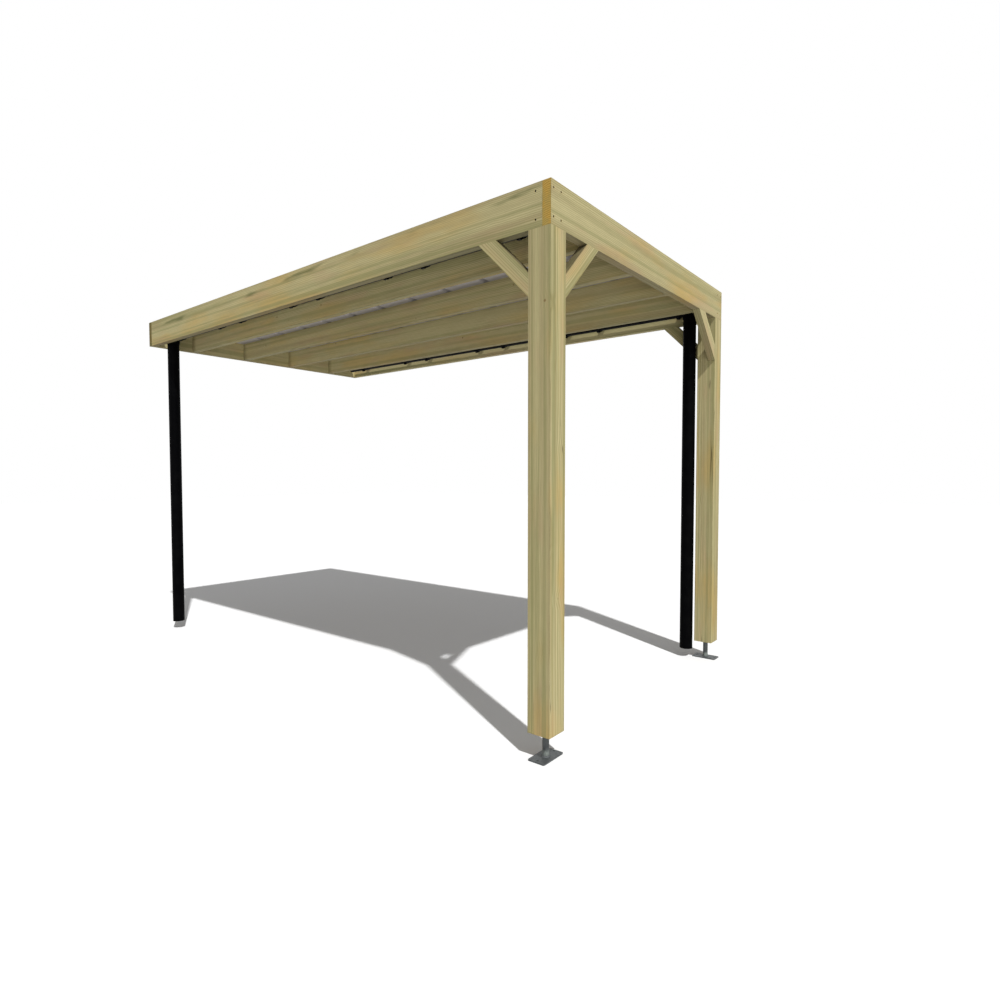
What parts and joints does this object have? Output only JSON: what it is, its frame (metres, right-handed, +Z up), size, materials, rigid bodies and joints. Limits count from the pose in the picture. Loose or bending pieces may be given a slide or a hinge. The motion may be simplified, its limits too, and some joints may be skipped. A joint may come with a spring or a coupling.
{
  "type": "lean-to carport",
  "caption": "Open timber lean-to carport with a wall ledger, braced posts on steel feet, joists, a ribbed sheet roof, half-round gutters and round downpipes.",
  "frame": {"origin": "middle of the back face of the wall ledger, which lies on the wall", "axes": "+X leads away from the wall along the carport, +Y leads to the rear, +Z is up"},
  "size_m": [4.055, 2.15, 2.565],
  "materials": {
    "timber": "rough-planed green-impregnated softwood",
    "roof_sheet": "satin coated steel",
    "gutter_black": "satin black",
    "galvanised_steel": "dull galvanised"
  },
  "bodies": {
    "root": {"wall_ledger": "timber", "front_beam": "timber", "rear_beam": "timber", "end_beam": "timber", "front_post": "timber", "rear_post": "timber", "front_post_side_brace": "timber", "front_post_end_brace": "timber", "rear_post_side_brace": "timber", "rear_post_end_brace": "timber", "joist_1": "timber", "joist_2": "timber", "joist_3": "timber", "joist_4": "timber", "roof_sheet_1": "roof_sheet", "roof_sheet_2": "roof_sheet", "roof_sheet_3": "roof_sheet", "roof_sheet_4": "roof_sheet", "front_gutter": "gutter_black", "rear_gutter": "gutter_black", "front_gutter_caps": "gutter_black", "rear_gutter_caps": "gutter_black", "front_gutter_brackets": "gutter_black", "rear_gutter_brackets": "gutter_black", "front_outlet": "gutter_black", "rear_outlet": "gutter_black", "front_downpipe": "gutter_black", "rear_downpipe": "gutter_black", "front_foot_plate": "galvanised_steel", "rear_foot_plate": "galvanised_steel", "front_foot_rod": "galvanised_steel", "rear_foot_rod": "galvanised_steel"}
  },
  "joints": []
}
